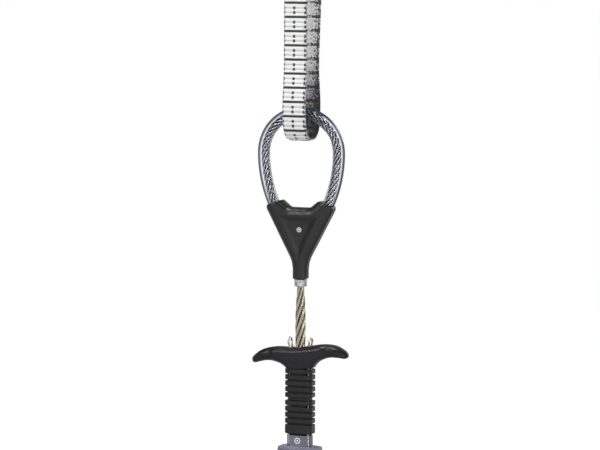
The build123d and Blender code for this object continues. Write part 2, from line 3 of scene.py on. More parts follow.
import bpy
import numpy as np
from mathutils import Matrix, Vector


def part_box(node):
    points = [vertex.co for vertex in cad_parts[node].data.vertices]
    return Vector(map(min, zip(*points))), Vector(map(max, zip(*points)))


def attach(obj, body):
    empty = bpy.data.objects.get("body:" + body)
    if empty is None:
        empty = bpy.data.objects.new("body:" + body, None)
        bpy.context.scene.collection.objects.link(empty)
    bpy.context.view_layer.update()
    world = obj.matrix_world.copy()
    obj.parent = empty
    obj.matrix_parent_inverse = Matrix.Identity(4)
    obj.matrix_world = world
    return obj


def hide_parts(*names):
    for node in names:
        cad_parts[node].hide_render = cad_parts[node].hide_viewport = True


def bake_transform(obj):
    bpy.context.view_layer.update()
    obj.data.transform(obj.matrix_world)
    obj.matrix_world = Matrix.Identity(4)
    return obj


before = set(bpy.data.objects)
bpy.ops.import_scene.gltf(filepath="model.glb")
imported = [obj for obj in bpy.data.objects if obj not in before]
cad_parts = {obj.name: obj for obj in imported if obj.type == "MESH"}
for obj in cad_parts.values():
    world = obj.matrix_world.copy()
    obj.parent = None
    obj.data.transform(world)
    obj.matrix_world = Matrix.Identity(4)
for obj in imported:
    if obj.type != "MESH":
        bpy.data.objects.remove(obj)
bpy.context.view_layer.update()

MM = 0.001

# Driving sizes in millimetres, as in the CAD model
WEBBING_WIDTH = 12.0
WEBBING_THICKNESS = 1.8
SLING_FRONT_Y = -8.0
SLING_CORNERS = (                # middle line of the sling: Y, Z and bend radius
    (SLING_FRONT_Y, 0.9, 7.0),
    (SLING_FRONT_Y, -88.0, 60.0),
    (-10.0, -104.0, 40.0),
    (-8.2, -120.6, 8.0),
    (8.2, -120.6, 8.0),
    (10.0, -104.0, 40.0),
    (7.2, -87.0, 60.0),
    (11.3, -40.0, 100.0),
    (7.4, 0.9, 7.0),
)
SPLICE_TOP_Z = -14.0
SPLICE_BOTTOM_Z = -46.0
SPLICE_GAP = 0.1
BARTACK_ZS = (-18.0, -30.0, -42.0)
LOOP_RADIUS = 19.5
LOOP_CENTRE_Z = -127.7
LOOP_SIDE_RADIUS = 58.5
LOOP_ENTRY_Z = -151.6
LOOP_CABLE_RADIUS = 1.65
LOOP_CABLE_END_Z = -168.0
LOOP_CABLE_INSET = 0.6           # the cable lies against the inner side of its tube
TUBE_OUTER_RADIUS = 3.0
TUBE_END_Z = -157.4
STEM_NARROW_RADIUS = 1.65
STEM_RADIUS = 2.5
STEM_FLARE_START_Z = -193.5
STEM_FLARE_END_Z = -206.0
STEM_TOP_Z = -186.0
STEM_BOTTOM_Z = -242.0
TRIGGER_TOP_Z = -221.9
TRIGGER_CABLE_X = 4.9
TRIGGER_CABLE_Y = 1.7
TRIGGER_CABLE_RADIUS = 0.525
TRIGGER_CABLE_TOP_Z = -217.0
TRIGGER_CABLE_LEAN = 0.5
TRIGGER_CABLE_BULGE = 2.2
TRIGGER_CABLE_BOTTOM_Z = -273.6
CROTCH_Z = -274.5
LOBE_GAP_X = 4.1                 # middle of the gap between an outer and an inner lobe
WIRE_RADIUS = 0.3
TRIGGER_CABLE_PITCH = 6.0
LOBE_WIRE_PITCH = 3.2
LOBE_WIRE_END_RISE = 0.95        # the wire ends this far above its pull pin's centre

# Sling pattern. Places along are shares of one repeat, places across are shares of the width.
STRAP_STEP = 0.34
STRAP_COLUMNS = 40
STRAP_REPEATS = 39
STRAP_REPEAT = 6.8               # about one repeat
STRAP_SOLID_SHARE = 0.82         # thickness without the padding
STRAP_EDGE = 0.985               # past this share of the half width there is no padding
PADDING_HEIGHT = 0.26
SCALLOP_DEPTH = 0.10
FUZZ_HEIGHT = 0.035
SLING_PHASE = 1.2
SPLICE_PHASE = 0.9
SLING_SEED = 11
SPLICE_SEED = 12
ROW_SPLITS = (0.365, 0.69)       # places of the two seams between rows, in one repeat
BAR_SHARE = 0.088
INNER_BAR_SHARE = 0.11
DASH_SHARE = 0.105
DASH_LINES = ((0.035, 0.04), (0.465, 0.048), (0.93, 0.035))      # place across and half width
SEAM_SHARE = 0.075
FOLD_DARK_Z = -108.0             # painted shade on the inner face is deepest from here down
FOLD_LIGHT_Z = -84.0
FOLD_SHADE_SPECKS = 0.13                # how many more dark yarns are painted in as shade in the fold
# painted shade colour over the fold of the inner face
FOLD_SHADE_TINT = (0.34, 0.31, 0.36)
LOOSE_YARN_LEVEL = 0.64
BARTACK_TURNS = 30
BARTACK_WIDTH = 9.8
BARTACK_HALF_HEIGHT = 1.35
BARTACK_THREAD_RADIUS = 0.2

# Ropes. Shares are of the whole rope's radius.
FRAME_HINT = (0.31, 0.95, 0.05)  # a direction that no route runs along
ROPE_CORE_SHARE = 0.42
STRAND_OFFSET_SHARE = 0.655
STRAND_CORE_SHARE = 0.2
STRAND_WIRE_OFFSET_SHARE = 0.222
STRAND_WIRE_SHARE = 0.112
STRAND_SHARE = 0.334             # radius of one whole strand
CABLE_CORE_SHARE = 0.5
CABLE_WIRE_OFFSET_SHARE = 0.64
CABLE_WIRE_SHARE = 0.36
LOOP_STRAND_PITCH = 19.0
LOOP_WIRE_PITCH = -26.0
STEM_STRAND_PITCH = 38.0
STEM_WIRE_PITCH = 120.0
STEM_SWELL = 0.08                # the free cable stands a little proud of its nominal size

# Soft mouldings
MOULDING_VOXEL = 0.32
EDGE_SHARE = 0.3                 # thickness left at a rounded edge
YOKE_HALF_DEPTH = 4.6
YOKE_NECK_HALF_DEPTH = 3.8
YOKE_NECK_START_Z = -171.0
YOKE_NECK_END_Z = -181.0
YOKE_ROUNDING = 4.6
YOKE_SMOOTHING = 26
YOKE_CORNERS = (                 # right half: X, Z and corner radius
    (5.3, -153.9, 2.6), (9.7, -150.3, 1.5), (18.1, -153.5, 1.5), (3.85, -180.3, 14.0), (3.6, -188.7, 0.4),
)
YOKE_HORN_X = 9.4                # the flat ends of the horns lie past here and above YOKE_HORN_Z
YOKE_HORN_Z = -153.6
YOKE_FOOT_Z = -188.3
SEAM_DEPTH = 0.16
SEAM_HALF_WIDTH = 0.22
RECESS_TOP_Z = -157.5
RECESS_APEX_Z = -181.0
RECESS_HALF_WIDTH = 10.6
RECESS_DEPTH = 1.7
RECESS_BEVEL = 3.3
CREASE = 3.5                     # sharpness of the corner between two bevels
TRIGGER_HALF_DEPTH = 4.7
TRIGGER_ROUNDING = 3.0
TRIGGER_SMOOTHING = 18
TRIGGER_FOOT_Z = -232.2
TRIGGER_TILT = 5.3               # the bar hangs a little askew on its cables
TRIGGER_PIVOT_Z = -227.5
TRIGGER_TOP_LINE = ((0, -221.9), (5.5, -221.7), (12.5, -221.2), (19.0, -222.2), (24.3, -225.4))
TRIGGER_TIP_LINE = ((25.2, -227.4), (23.8, -228.6))
TRIGGER_LOWER_LINE = ((20.2, -228.0), (15.7, -227.7), (10.6, -229.1), (7.7, -231.2), (7.0, -232.4))
WING_DEPTH_SHARE = 0.87          # the wings are a little thinner than the middle
WING_TIP_X = 20.4                # the tip rounds off over WING_TIP_REACH from here
WING_TIP_REACH = 5.2
WING_HOLLOW_X = 20.5             # middle of the shallow hollow in each wing
WING_HOLLOW_Z = -225.9
WING_HOLLOW_DEPTH = 0.45

# Marks: centre, radius, ring width and depth
MARK_SEGMENTS = 48
DOT_SEGMENTS = 24
DOT_SHARE = 0.33
YOKE_MARK = ((0.2, -YOKE_HALF_DEPTH + RECESS_DEPTH - 0.06, -164.6), 1.15, 0.38, 0.12)
HEAD_MARK = ((0.0, -3.44, -267.6), 1.5, 0.45, 0.05)

# Finishes: dark and light colour, metallic, roughness range, grain scale and grain strength
WHITE = (1.0, 1.0, 1.0)
FINISHES = {
    "black_thread": ((0.01, 0.01, 0.012), (0.05, 0.05, 0.055), 0.0, (0.6, 0.9), 900, 0.5),
    "cable_steel": ((0.50, 0.48, 0.44), (0.72, 0.70, 0.65), 1.0, (0.16, 0.34), 700, 0.15),
    "yoke_moulding": ((0.007, 0.007, 0.008), (0.011, 0.011, 0.012), 0.0, (0.30, 0.44), 1500, 0.25),
    "ferrule_aluminium": ((0.34, 0.34, 0.345), (0.66, 0.66, 0.665), 1.0, (0.3, 0.6), 3200, 0.9),
    "trigger_moulding": ((0.005, 0.005, 0.006), (0.009, 0.008, 0.011), 0.0, (0.28, 0.42), 1500, 0.25),
    "sleeve_moulding": ((0.006, 0.006, 0.007), (0.012, 0.012, 0.013), 0.0, (0.36, 0.55), 1500, 0.4),
    "head_anodised": ((0.15, 0.148, 0.19), (0.20, 0.197, 0.25), 1.0, (0.26, 0.40), 900, 0.2),
    "lobe_anodised": ((0.16, 0.155, 0.21), (0.22, 0.21, 0.28), 1.0, (0.30, 0.46), 900, 0.25),
    "axle_steel": ((0.50, 0.50, 0.51), (0.66, 0.66, 0.67), 1.0, (0.2, 0.36), 900, 0.15),
    "spring_steel": ((0.42, 0.42, 0.43), (0.6, 0.6, 0.6), 1.0, (0.2, 0.34), 900, 0.15),
    "white_print": ((0.72, 0.72, 0.72), (0.86, 0.86, 0.86), 0.0, (0.4, 0.6), 900, 0.1),
}
SHINES = {"yoke_moulding": 0.42, "trigger_moulding": 0.3, "sleeve_moulding": 0.35}
BRUSHED = {"head_anodised": (1, 1, 0.15)}        # grain drawn out along Z
ROPE_SHADE_COLOURS = {                # colour in the gaps, on the flanks and on the crowns of the wires; gaps and flanks are painted shade
    "loop_rope_steel": ((0.004, 0.004, 0.006), (0.10, 0.10, 0.12), (0.92, 0.92, 0.94)),
    "stem_rope_steel": ((0.010, 0.008, 0.006), (0.22, 0.18, 0.13), (0.80, 0.72, 0.59)),
}
NODE_FINISHES = {                # CAD nodes that keep their own shape
    "yoke_pins": "axle_steel", "ferrule": "ferrule_aluminium", "head_frame": "head_anodised",
    "sleeve_upper": "sleeve_moulding", "sleeve_lower": "sleeve_moulding",
    "axle_front": "axle_steel", "axle_rear": "axle_steel", "axle_washers": "axle_steel",
    "axle_spacers": "axle_steel", "springs_front": "spring_steel", "springs_rear": "spring_steel",
}

# Studio, in metres and degrees
CAMERA_AZIMUTH = 22.0
CAMERA_ELEVATION = 5.5
CAMERA_DISTANCE = 1.5
CAMERA_LENS = 186.0
CAMERA_TARGET = (-0.0005, 0.0, -0.1625)
CAMERA_ROLL = 0.27
LIGHT_TARGET = (0.0, 0.0, -0.16)
FLOOR_Z = -0.38
FLOOR_HALF_WIDTH = 12.0
FLOOR_SHADE_REACH = 1.6          # distance that a place of 1 in FLOOR_SHADES stands for
FLOOR_SHADES = ((0.0, 0.35), (0.2, 0.6), (0.36, 1.0))
WORLD_SHADES = ((0.0, 1.0), (0.55, 1.0), (0.63, 0.38), (0.85, 0.22), (1.0, 0.5))     # from down to up
SIDE_SHADES = ((0.25, 0.42), (0.85, 1.0))        # darker to the left and right of the camera's line
STUDIO_LIGHTS = (                # name, place, size and power
    ("key", (-0.7, -1.0, 0.55), 0.35, 7.0),
    ("fill", (1.0, -0.9, 0.1), 0.3, 3.5),
    ("top", (-0.1, -0.25, 0.9), 0.35, 8.0),
    ("rear", (0.6, 1.2, 0.4), 0.6, 6.0),
)


# ---- routes
def rounded_route(corners, radii, closed=False):
    """Points along straight runs joined by arcs, with one radius for each corner."""
    points = [Vector(corner) for corner in corners]
    count = len(points)
    route = []
    for index, point in enumerate(points):
        if radii[index] == 0 or (not closed and index in (0, count - 1)):
            route.append(point)
            continue
        back = (points[index - 1] - point).normalized()
        ahead = (points[(index + 1) % count] - point).normalized()
        half = back.angle(ahead) / 2
        cut = radii[index] / math.tan(half)
        centre = point + (back + ahead).normalized() * (radii[index] / math.sin(half))
        first, last = point + back * cut - centre, point + ahead * cut - centre
        turn = math.pi - 2 * half
        steps = max(3, int(turn / math.radians(3)))
        for step in range(steps + 1):
            t = step / steps
            swung = first * math.sin((1 - t) * turn) + last * math.sin(t * turn)
            route.append(centre + swung / math.sin(turn))
    if closed:
        route.append(route[0].copy())
    return np.array(route)


def resampled(route, step):
    """The same route with evenly spaced points."""
    lengths = np.concatenate([[0], np.cumsum(np.linalg.norm(np.diff(route, axis=0), axis=1))])
    count = max(2, int(round(lengths[-1] / step)) + 1)
    even = np.linspace(0, lengths[-1], count)
    return np.stack([np.interp(even, lengths, route[:, axis]) for axis in range(3)], axis=1), even


def frames_along(route):
    """Tangent and two cross directions at every point, carried along without twist."""
    tangents = np.gradient(route, axis=0)
    tangents /= np.linalg.norm(tangents, axis=1)[:, None]
    side = np.cross(tangents[0], FRAME_HINT)
    side /= np.linalg.norm(side)
    sides = []
    for tangent in tangents:
        side = side - tangent * np.dot(side, tangent)
        side = side / np.linalg.norm(side)
        sides.append(side)
    sides = np.array(sides)
    return tangents, sides, np.cross(tangents, sides)


def smooth_step(low, high, value):
    """Smooth rise from 0 at low to 1 at high, which may be the lower number."""
    t = np.clip((value - low) / (high - low), 0, 1)
    return t * t * (3 - 2 * t)


# ---- meshes
def add_mesh(name, points, faces, materials, face_materials=None):
    """Smooth-shaded object from points in millimetres."""
    mesh = bpy.data.meshes.new(name)
    mesh.from_pydata([tuple(p) for p in np.asarray(points) * MM], [], [tuple(f) for f in faces])
    for material in materials:
        mesh.materials.append(material)
    mesh.polygons.foreach_set("use_smooth", [True] * len(mesh.polygons))
    if face_materials is not None:
        mesh.polygons.foreach_set("material_index", list(face_materials))
    mesh.update()
    piece = bpy.data.objects.new(name, mesh)
    bpy.context.scene.collection.objects.link(piece)
    return piece


def tube_mesh(centres, sides, others, radii, segments, first=0):
    """Points and faces of one closed tube."""
    angles = np.linspace(0, 2 * math.pi, segments, endpoint=False)
    rings = (centres[:, None, :]
             + radii[:, None, None] * (np.cos(angles)[None, :, None] * sides[:, None, :]
                                       + np.sin(angles)[None, :, None] * others[:, None, :]))
    count = len(centres)
    faces = []
    for ring in range(count - 1):
        a, b = first + ring * segments, first + (ring + 1) * segments
        faces += [(a + k, a + (k + 1) % segments, b + (k + 1) % segments, b + k) for k in range(segments)]
    faces.append(tuple(first + k for k in reversed(range(segments))))
    faces.append(tuple(first + (count - 1) * segments + k for k in range(segments)))
    return rings.reshape(-1, 3), faces


def joined_tubes(name, tubes, materials, core=None):
    """One object from several tubes: centres, sides, others, radii, segments and strand line.

    With a core, a rope's middle line and radius, every point is marked with how far out it lies
    in its strand and in the rope."""
    points, faces, total = [], [], 0
    for centres, sides, others, radii, segments, _ in tubes:
        tube_points, tube_faces = tube_mesh(centres, sides, others, radii, segments, total)
        points.append(tube_points)
        faces += tube_faces
        total += len(tube_points)
    piece = add_mesh(name, np.concatenate(points), faces, materials)
    if core is not None:
        route, radius = core
        reaches = []
        rope_radius = np.broadcast_to(radius, len(route))[:, None]
        for tube_points, (_, _, _, _, segments, strand) in zip(points, tubes):
            ring_points = tube_points.reshape(len(route), segments, 3)
            reach = np.linalg.norm(ring_points - route[:, None, :], axis=2) / rope_radius
            if strand is not None:
                from_strand = np.linalg.norm(ring_points - strand[:, None, :], axis=2)
                reach *= from_strand / (STRAND_SHARE * rope_radius)
            reaches.append(reach.ravel())
        # reach drives the painted shade between the wires
        marks = piece.data.attributes.new("reach", "FLOAT", "POINT")
        marks.data.foreach_set("value", np.concatenate(reaches))
    return piece


def helix_about(centres, sides, others, offsets, along, pitch, phase):
    """Middle line of a strand that winds round another line."""
    angle = (2 * math.pi * along / pitch + phase)[:, None]
    return centres + offsets[:, None] * (np.cos(angle) * sides + np.sin(angle) * others)


def rope_tubes(route, along, radius, strand_pitch, wire_pitch, segments):
    """Wires of a rope of six strands round a core, each strand of six wires round one."""
    _, sides, others = frames_along(route)
    radii = np.full(len(route), radius) if np.isscalar(radius) else radius
    tubes = [(route, sides, others, radii * ROPE_CORE_SHARE, 10, None)]
    for strand in range(6):
        centres = helix_about(route, sides, others, radii * STRAND_OFFSET_SHARE, along, strand_pitch,
                              strand * math.pi / 3)
        _, strand_sides, strand_others = frames_along(centres)
        tubes.append((centres, strand_sides, strand_others, radii * STRAND_CORE_SHARE, 6, None))
        for wire in range(6):
            line = helix_about(centres, strand_sides, strand_others, radii * STRAND_WIRE_OFFSET_SHARE, along,
                               wire_pitch, wire * math.pi / 3)
            _, wire_sides, wire_others = frames_along(line)
            tubes.append((line, wire_sides, wire_others, radii * STRAND_WIRE_SHARE, segments, centres))
    return tubes


def strand_tubes(route, along, radius, pitch, segments):
    """Wires of a thin cable: six round one."""
    _, sides, others = frames_along(route)
    radii = np.full(len(route), radius)
    tubes = [(route, sides, others, radii * CABLE_CORE_SHARE, 6, None)]
    for wire in range(6):
        line = helix_about(route, sides, others, radii * CABLE_WIRE_OFFSET_SHARE, along, pitch,
                           wire * math.pi / 3)
        _, wire_sides, wire_others = frames_along(line)
        tubes.append((line, wire_sides, wire_others, radii * CABLE_WIRE_SHARE, segments, None))
    return tubes


def evaluated(piece):
    """Replaces a piece's mesh by the result of its modifiers, and removes them."""
    graph = bpy.context.evaluated_depsgraph_get()
    mesh = bpy.data.meshes.new_from_object(piece.evaluated_get(graph))
    piece.modifiers.clear()
    piece.data = mesh


def read_points(piece):
    """A piece's points, in millimetres."""
    points = np.zeros(len(piece.data.vertices) * 3)
    piece.data.vertices.foreach_get("co", points)
    return points.reshape(-1, 3) / MM


def write_points(piece, points):
    piece.data.vertices.foreach_set("co", (points * MM).ravel())
    piece.data.update()


# ---- materials
class Graph:
    """Node tree of a material or world, with short calls that add and feed nodes."""

    def __init__(self, tree):
        self.tree = tree

    def feed(self, node, sockets):
        """Links or sets each named socket."""
        for name, value in sockets.items():
            if isinstance(value, bpy.types.NodeSocket):
                self.tree.links.new(value, node.inputs[name])
            else:
                node.inputs[name].default_value = value

    def add(self, kind, sockets=None, **settings):
        node = self.tree.nodes.new(kind)
        for key, value in settings.items():
            setattr(node, key, value)
        self.feed(node, sockets or {})
        return node

    def math(self, operation, first, second=None):
        sockets = {0: first} if second is None else {0: first, 1: second}
        return self.add("ShaderNodeMath", sockets, operation=operation).outputs[0]

    def split(self, vector):
        """X, Y and Z of a vector."""
        return self.add("ShaderNodeSeparateXYZ", {"Vector": vector}).outputs

    def noise(self, scale, detail=4.0, stretch=(1.0, 1.0, 1.0)):
        """Noise over the object's own coordinates, as a value round 0.5."""
        place = self.add("ShaderNodeTexCoord").outputs["Object"]
        mapping = self.add("ShaderNodeMapping", {"Vector": place, "Scale": stretch})
        sockets = {"Vector": mapping.outputs["Vector"], "Scale": scale, "Detail": detail}
        return self.add("ShaderNodeTexNoise", sockets).outputs["Fac"]

    def ramp(self, value, stops):
        """Colour ramp from a value, with (place, colour) stops."""
        node = self.add("ShaderNodeValToRGB", {"Fac": value})
        elements = node.color_ramp.elements
        elements[0].position, elements[0].color = stops[0][0], (*stops[0][1], 1)
        elements[1].position, elements[1].color = stops[-1][0], (*stops[-1][1], 1)
        for place, colour in stops[1:-1]:
            elements.new(place).color = (*colour, 1)
        return node.outputs["Color"]

    def grey_ramp(self, value, shades):
        return self.ramp(value, [(place, (shade, shade, shade)) for place, shade in shades])

    def mapped(self, value, low, high, start=0.0, end=1.0):
        """Value between start and end mapped to the range from low to high."""
        sockets = {"Value": value, "From Min": start, "From Max": end, "To Min": low, "To Max": high}
        return self.add("ShaderNodeMapRange", sockets).outputs["Result"]

    def mix(self, factor, first, second, blend="MIX"):
        sockets = {"Factor": factor, "A": first, "B": second}
        return self.add("ShaderNodeMix", sockets, data_type="RGBA", blend_type=blend).outputs["Result"]

    def bump(self, shader, height, strength, distance):
        sockets = {"Strength": strength, "Distance": distance, "Height": height}
        self.feed(shader, {"Normal": self.add("ShaderNodeBump", sockets).outputs["Normal"]})

    def nearest_gap(self, value, places):
        """Distance from a value to the nearest of some places."""
        nearest = None
        for place in places:
            gap = self.math("ABSOLUTE", self.math("SUBTRACT", value, place))
            nearest = gap if nearest is None else self.math("MINIMUM", nearest, gap)
        return nearest


def new_material(name):
    """Empty material with its graph and its shader."""
    material = bpy.data.materials.new(name)
    material.use_nodes = True
    return material, Graph(material.node_tree), material.node_tree.nodes["Principled BSDF"]


def speckled(name):
    """Surface with fine colour variation, uneven gloss and a fine grain in its normal."""
    dark, light, metallic, roughness, scale, grain = FINISHES[name]
    stretch = BRUSHED.get(name, (1, 1, 1))
    material, graph, shader = new_material(name)
    broad = graph.noise(scale * 0.2, 3.0, stretch)
    fine = graph.noise(scale, 6.0, stretch)
    graph.feed(shader, {
        "Metallic": metallic,
        "Specular IOR Level": SHINES.get(name, 0.5),
        "Base Color": graph.ramp(broad, [(0.3, dark), (0.7, light)]),
        "Roughness": graph.mapped(fine, *roughness),
    })
    graph.bump(shader, fine, grain, 0.00015)
    return material


def outer_webbing_pattern(graph, place, across, edge_gap, ragged):
    """Where the outer face is dark: bars, dashes on the stitched lines and dots at the edges."""
    on_line = None
    for line_place, half_width in DASH_LINES:
        here = graph.math("LESS_THAN", graph.nearest_gap(across, (line_place,)), half_width)
        on_line = here if on_line is None else graph.math("MAXIMUM", on_line, here)
    near_dash = graph.math("LESS_THAN", graph.nearest_gap(place, ROW_SPLITS), DASH_SHARE)
    dash = graph.math("MULTIPLY", near_dash, on_line)
    bar = graph.math("LESS_THAN", graph.nearest_gap(place, (0.0, 1.0)), BAR_SHARE)
    dotted = graph.math("GREATER_THAN", graph.math("ADD", ragged, edge_gap), 1.0)
    return graph.math("MAXIMUM", graph.math("MAXIMUM", bar, dash), dotted)


def inner_webbing_pattern(graph, place, edge_gap, patch, fold_shade):
    """Where the inner face is dark: loose yarns, more of them painted in as shade in the fold, and a zigzag
    thread near each edge.
    """
    teeth = graph.math("PINGPONG", graph.math("MULTIPLY", place, 4.0), 1.0)
    line = graph.math("ADD", graph.math("MULTIPLY", teeth, 0.035), 0.415)
    off_line = graph.math("ABSOLUTE", graph.math("SUBTRACT", edge_gap, line))
    zigzag = graph.math("LESS_THAN", off_line, 0.016)
    near_bar = graph.math("LESS_THAN", graph.nearest_gap(place, (0.0, 1.0)), INNER_BAR_SHARE)
    crowd = graph.math("ADD", patch, graph.math("MULTIPLY", edge_gap, 0.30))
    crowd = graph.math("ADD", crowd, graph.math("MULTIPLY", near_bar, 0.13))
    loose = graph.math("GREATER_THAN", graph.math("ADD", crowd, fold_shade), LOOSE_YARN_LEVEL)
    return graph.math("MAXIMUM", loose, zigzag)


def webbing_material(name, outer):
    """Woven strap: pale padded rows with painted shade along their seams, dark bars and dashes outside;
    ragged yarns inside, under painted shade towards the fold.
    """
    material, graph, shader = new_material(name)
    graph.feed(shader, {"Sheen Weight": 0.25, "Sheen Roughness": 0.5, "Roughness": 0.8})
    uv = graph.add("ShaderNodeUVMap", uv_map="UVMap").outputs["UV"]
    along, across, _ = graph.split(uv)
    in_mm = graph.add("ShaderNodeVectorMath", {0: uv, 1: (STRAP_REPEAT, WEBBING_WIDTH, 1.0)},
                      operation="MULTIPLY").outputs["Vector"]

    def strap_noise(scale, detail):
        sockets = {"Vector": in_mm, "Scale": scale, "Detail": detail, "Roughness": 0.7}
        return graph.add("ShaderNodeTexNoise", sockets).outputs["Fac"]

    ragged = strap_noise(1.6, 3.0)
    yarn = strap_noise(3.4, 8.0)
    wobble = graph.math("MULTIPLY", graph.math("SUBTRACT", ragged, 0.5), 0.05 if outer else 0.16)
    place = graph.math("FRACT", graph.math("ADD", along, wobble))
    edge_gap = graph.nearest_gap(across, (0.5,))
    sockets = {"Vector": in_mm, "Scale": 1.15, "Distortion": 1.2, "Detail": 3.0}
    threads = graph.add("ShaderNodeTexWave", sockets, wave_type="BANDS", bands_direction="Y").outputs["Fac"]
    if outer:
        dark = outer_webbing_pattern(graph, place, across, edge_gap, ragged)
        low, high, seam_shade_level = (0.62, 0.62, 0.615), (0.93, 0.93, 0.925), 0.52
    else:
        height = graph.split(graph.add("ShaderNodeTexCoord").outputs["Object"])["Z"]
        # painted shade and extra dark specks grow towards the fold
        fold_shade = graph.mapped(height, FOLD_SHADE_SPECKS, 0.0, FOLD_DARK_Z * MM, FOLD_LIGHT_Z * MM)
        dark = inner_webbing_pattern(graph, place, edge_gap, strap_noise(1.05, 4.0), fold_shade)
        low, high, seam_shade_level = (0.85, 0.85, 0.845), WHITE, 0.8
    lightness = graph.math("ADD", graph.math("MULTIPLY", threads, 0.3), graph.math("MULTIPLY", yarn, 0.75))
    pale = graph.ramp(lightness, [(0.3, low), (0.58, high)])
    # painted shade in the creases along the seams between padded rows, fainter on the inner face
    seam_gap = graph.nearest_gap(place, (0.0,) + ROW_SPLITS + (1.0,))
    seam_shade = graph.mapped(seam_gap, seam_shade_level, 1.0, 0.0, SEAM_SHARE)
    seam_shaded = graph.add("ShaderNodeVectorMath", {0: pale, "Scale": seam_shade}, operation="SCALE").outputs["Vector"]
    black = graph.ramp(yarn, [(0.3, (0.006, 0.006, 0.008)), (0.8, (0.06, 0.055, 0.06))])
    colour = graph.mix(dark, seam_shaded, black)
    # painted shade over the inner face, deepening towards the fold
    if not outer:
        shade = graph.ramp(graph.math("MULTIPLY", fold_shade, 1 / FOLD_SHADE_SPECKS), [(0.0, WHITE), (1.0, FOLD_SHADE_TINT)])
        colour = graph.mix(1.0, colour, shade, "MULTIPLY")
    graph.feed(shader, {"Base Color": colour})
    graph.bump(shader, graph.math("ADD", threads, yarn), 0.5 if outer else 0.9, 0.0003)
    return material


def rope_material(name):
    """Bright wires with painted shade darkening the gaps between them."""
    gap, flank, crown = ROPE_SHADE_COLOURS[name]
    material, graph, shader = new_material(name)
    reach = graph.add("ShaderNodeAttribute", attribute_name="reach").outputs["Fac"]
    fine = graph.noise(800.0, 4.0)
    uneven = graph.math("ADD", reach, graph.math("MULTIPLY", fine, 0.08))
    # painted shade: dark in the gaps and on the flanks, the metal's colour on the crowns
    graph.feed(shader, {
        "Metallic": 1.0,
        "Base Color": graph.ramp(uneven, [(0.64, gap), (0.79, flank), (0.96, crown)]),
        "Roughness": graph.mapped(fine, 0.16, 0.32),
    })
    return material


def clear_tube_material():
    """Clear vinyl: faint blue tint, a painted dark reflection along the outer edge where it is seen edge on,
    a little haze.
    """
    material, graph, shader = new_material("clear_vinyl")
    haze = graph.noise(140.0, 4.0)
    graph.feed(shader, {
        "Transmission Weight": 1.0,
        "IOR": 1.22,
        "Base Color": graph.ramp(haze, [(0.3, (0.88, 0.92, 1.0)), (0.7, (0.95, 0.97, 1.0))]),
        "Roughness": graph.mapped(haze, 0.0, 0.06),
    })
    # painted dark reflection of the surroundings along the tube's outer rim
    dark_reflection_colour = graph.ramp(haze, [(0.3, (0.010, 0.018, 0.045)), (0.7, (0.03, 0.045, 0.09))])
    dark_reflection_shader = graph.add("ShaderNodeBsdfPrincipled", {"Base Color": dark_reflection_colour, "Roughness": 0.25})
    facing = graph.add("ShaderNodeLayerWeight", {"Blend": 0.5}).outputs["Facing"]
    dark_reflection_edge = graph.grey_ramp(facing, [(0.10, 0.0), (0.26, 0.85), (0.42, 1.0)])
    outward = graph.add("ShaderNodeAttribute", attribute_name="outward").outputs["Fac"]
    share = graph.math("MULTIPLY", dark_reflection_edge, graph.mapped(outward, 0.25, 1.0))
    mix = graph.add("ShaderNodeMixShader", {"Fac": share, 1: shader.outputs["BSDF"], 2: dark_reflection_shader.outputs["BSDF"]})
    graph.feed(graph.tree.nodes["Material Output"], {"Surface": mix.outputs["Shader"]})
    return material


# ---- sling
def row_height(place):
    """Rise of the padded rows between two bars, 0 at every seam."""
    bounds = (0.0,) + ROW_SPLITS + (1.0,)
    rise = np.zeros_like(place)
    for low, high in zip(bounds[:-1], bounds[1:]):
        inside = (place >= low) & (place <= high)
        rise = np.where(inside, np.sin(math.pi * np.clip((place - low) / (high - low), 0, 1)) ** 0.5, rise)
    return rise


def column_height(across):
    """Rise across the strap, with dips on the stitched lines."""
    rise = np.ones_like(across)
    for line_place, half_width in DASH_LINES:
        rise *= 1 - 0.75 * np.exp(-((across - line_place) / (half_width * 1.1)) ** 2)
    return rise


